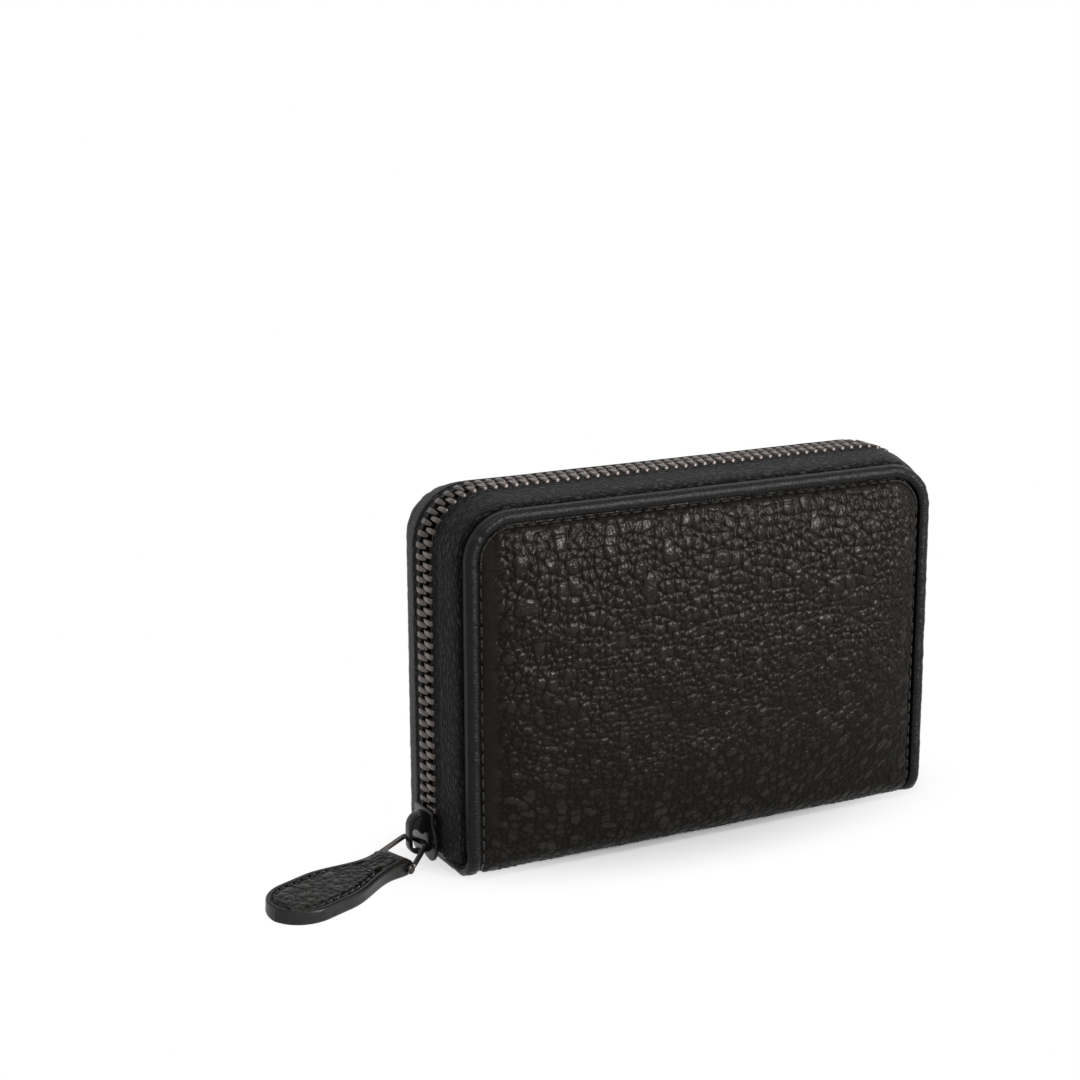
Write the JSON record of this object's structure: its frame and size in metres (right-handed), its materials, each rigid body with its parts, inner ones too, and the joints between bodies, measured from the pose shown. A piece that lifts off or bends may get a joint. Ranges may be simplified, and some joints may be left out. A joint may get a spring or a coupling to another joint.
{
  "type": "zip wallet",
  "caption": "Zip-around leather card wallet with padded covers, a metal zip on three sides, a leather pull and an accordion of card pockets.",
  "frame": {"origin": "middle of the spine's flat underside, on which the closed wallet stands", "axes": "+X along the spine, the zip slider and pull are at -X; -Y is the front cover's side; +Z from the spine up to the zip's top run"},
  "size_m": [0.156, 0.0357, 0.0777],
  "materials": {
    "pebbled_leather": "pebbled grain, semi-matt, warm black",
    "smooth_leather": "smooth rolled edge, satin, warm black",
    "foam": "thin foam sheet, hidden",
    "card_board": "stiff grey-brown board, hidden",
    "twill_lining": "black diagonal twill",
    "zip_tape": "woven herringbone tape, charcoal",
    "antique_metal": "dark gunmetal-brown plating",
    "black_metal": "glossy black plating",
    "spring_steel": "bright spring leaf, hidden",
    "ribbed_nylon": "finely ribbed nylon, blue-black",
    "gusset_ribbon": "ribbed ribbon, dark grey",
    "tab_core": "filler strip, seen only at its painted edge"
  },
  "bodies": {
    "root": {"rear_cover_leather": "pebbled_leather", "rear_cover_padding": "foam", "rear_cover_board": "card_board", "rear_cover_lining": "twill_lining", "rear_edge_binding": "smooth_leather", "rear_zip_tape": "zip_tape", "rear_zip_teeth": "antique_metal", "rear_top_stop": "antique_metal", "spine_board": "card_board", "spine_lining": "twill_lining", "spine_end_binding_left": "smooth_leather", "spine_end_binding_right": "smooth_leather", "spine_fold_leather": "pebbled_leather", "fold_binding_left": "smooth_leather", "fold_binding_right": "smooth_leather", "rear_ribbon_gusset_left": "gusset_ribbon", "rear_ribbon_gusset_right": "gusset_ribbon", "pocket_gusset_left": "ribbed_nylon", "pocket_gusset_right": "ribbed_nylon", "pocket_floor_pleats": "ribbed_nylon", "zip_bottom_stop": "antique_metal"},
    "front_cover": {"front_cover_leather": "pebbled_leather", "front_cover_padding": "foam", "front_cover_board": "card_board", "front_cover_lining": "twill_lining", "front_edge_binding": "smooth_leather", "front_zip_tape": "zip_tape", "front_zip_teeth": "antique_metal", "front_top_stop": "antique_metal", "front_ribbon_gusset_left": "gusset_ribbon", "front_ribbon_gusset_right": "gusset_ribbon"},
    "wall_01": {"pocket_wall_01": "ribbed_nylon"},
    "wall_02": {"pocket_wall_02": "ribbed_nylon"},
    "wall_03": {"pocket_wall_03": "ribbed_nylon"},
    "wall_04": {"pocket_wall_04": "ribbed_nylon"},
    "wall_05": {"pocket_wall_05": "ribbed_nylon"},
    "wall_06": {"pocket_wall_06": "ribbed_nylon"},
    "wall_07": {"pocket_wall_07": "ribbed_nylon"},
    "wall_08": {"pocket_wall_08": "ribbed_nylon"},
    "wall_09": {"pocket_wall_09": "ribbed_nylon"},
    "wall_10": {"pocket_wall_10": "ribbed_nylon"},
    "wall_11": {"pocket_wall_11": "ribbed_nylon"},
    "wall_12": {"pocket_wall_12": "ribbed_nylon"},
    "wall_13": {"pocket_wall_13": "ribbed_nylon"},
    "zip_slider": {"zip_slider_body": "black_metal", "zip_slider_crown": "black_metal", "slider_lock_spring": "spring_steel"},
    "pull_ring": {"pull_ring": "black_metal"},
    "pull_tab": {"pull_tab_leather": "pebbled_leather", "pull_tab_core": "tab_core"}
  },
  "joints": [
    {"name": "cover_open", "type": "hinge", "parent": "root", "child": "front_cover", "pos_m": [0, -0.0136, 0.0016], "axis": [1, 0, 0], "range_deg": [0, 90], "deforming": ["spine_fold_leather", "fold_binding_left", "fold_binding_right", "rear_ribbon_gusset_left", "rear_ribbon_gusset_right", "front_ribbon_gusset_left", "front_ribbon_gusset_right", "pocket_gusset_left", "pocket_gusset_right", "pocket_floor_pleats", "rear_zip_teeth", "front_zip_teeth"]},
    {"name": "wall_01_swing", "type": "hinge", "parent": "root", "child": "wall_01", "pos_m": [0, -0.0136, 0.0016], "axis": [1, 0, 0], "range_deg": [0, 12.1]},
    {"name": "wall_02_swing", "type": "hinge", "parent": "root", "child": "wall_02", "pos_m": [0, -0.0136, 0.0016], "axis": [1, 0, 0], "range_deg": [0, 17.6]},
    {"name": "wall_03_swing", "type": "hinge", "parent": "root", "child": "wall_03", "pos_m": [0, -0.0136, 0.0016], "axis": [1, 0, 0], "range_deg": [0, 23.1]},
    {"name": "wall_04_swing", "type": "hinge", "parent": "root", "child": "wall_04", "pos_m": [0, -0.0136, 0.0016], "axis": [1, 0, 0], "range_deg": [0, 28.6]},
    {"name": "wall_05_swing", "type": "hinge", "parent": "root", "child": "wall_05", "pos_m": [0, -0.0136, 0.0016], "axis": [1, 0, 0], "range_deg": [0, 34.1]},
    {"name": "wall_06_swing", "type": "hinge", "parent": "root", "child": "wall_06", "pos_m": [0, -0.0136, 0.0016], "axis": [1, 0, 0], "range_deg": [0, 39.6]},
    {"name": "wall_07_swing", "type": "hinge", "parent": "root", "child": "wall_07", "pos_m": [0, -0.0136, 0.0016], "axis": [1, 0, 0], "range_deg": [0, 45.1]},
    {"name": "wall_08_swing", "type": "hinge", "parent": "root", "child": "wall_08", "pos_m": [0, -0.0136, 0.0016], "axis": [1, 0, 0], "range_deg": [0, 50.6]},
    {"name": "wall_09_swing", "type": "hinge", "parent": "root", "child": "wall_09", "pos_m": [0, -0.0136, 0.0016], "axis": [1, 0, 0], "range_deg": [0, 56.1]},
    {"name": "wall_10_swing", "type": "hinge", "parent": "root", "child": "wall_10", "pos_m": [0, -0.0136, 0.0016], "axis": [1, 0, 0], "range_deg": [0, 61.6]},
    {"name": "wall_11_swing", "type": "hinge", "parent": "root", "child": "wall_11", "pos_m": [0, -0.0136, 0.0016], "axis": [1, 0, 0], "range_deg": [0, 67.1]},
    {"name": "wall_12_swing", "type": "hinge", "parent": "root", "child": "wall_12", "pos_m": [0, -0.0136, 0.0016], "axis": [1, 0, 0], "range_deg": [0, 72.6]},
    {"name": "wall_13_swing", "type": "hinge", "parent": "root", "child": "wall_13", "pos_m": [0, -0.0136, 0.0016], "axis": [1, 0, 0], "range_deg": [0, 78.1]},
    {"name": "zip_slide", "type": "slide", "parent": "root", "child": "zip_slider", "axis": [0, 0, 1], "range_m": [0, 0.04]},
    {"name": "pull_ring_swing", "type": "hinge", "parent": "zip_slider", "child": "pull_ring", "pos_m": [-0.06015, 0, 0.0054], "axis": [-0.4057, 0.9113, 0.0698], "range_deg": [-50, 75]},
    {"name": "pull_tab_swing", "type": "hinge", "parent": "pull_ring", "child": "pull_tab", "pos_m": [-0.06621, -0.00247, 0.00241], "axis": [-0.4057, 0.9113, 0.0698], "range_deg": [-35, 20]}
  ],
  "couplings": [
    {"joint": "wall_01_swing", "follows": "cover_open", "ratio": 0.13333},
    {"joint": "wall_02_swing", "follows": "cover_open", "ratio": 0.19444},
    {"joint": "wall_03_swing", "follows": "cover_open", "ratio": 0.25556},
    {"joint": "wall_04_swing", "follows": "cover_open", "ratio": 0.31667},
    {"joint": "wall_05_swing", "follows": "cover_open", "ratio": 0.37778},
    {"joint": "wall_06_swing", "follows": "cover_open", "ratio": 0.43889},
    {"joint": "wall_07_swing", "follows": "cover_open", "ratio": 0.5},
    {"joint": "wall_08_swing", "follows": "cover_open", "ratio": 0.56111},
    {"joint": "wall_09_swing", "follows": "cover_open", "ratio": 0.62222},
    {"joint": "wall_10_swing", "follows": "cover_open", "ratio": 0.68333},
    {"joint": "wall_11_swing", "follows": "cover_open", "ratio": 0.74444},
    {"joint": "wall_12_swing", "follows": "cover_open", "ratio": 0.80556},
    {"joint": "wall_13_swing", "follows": "cover_open", "ratio": 0.86667}
  ]
}
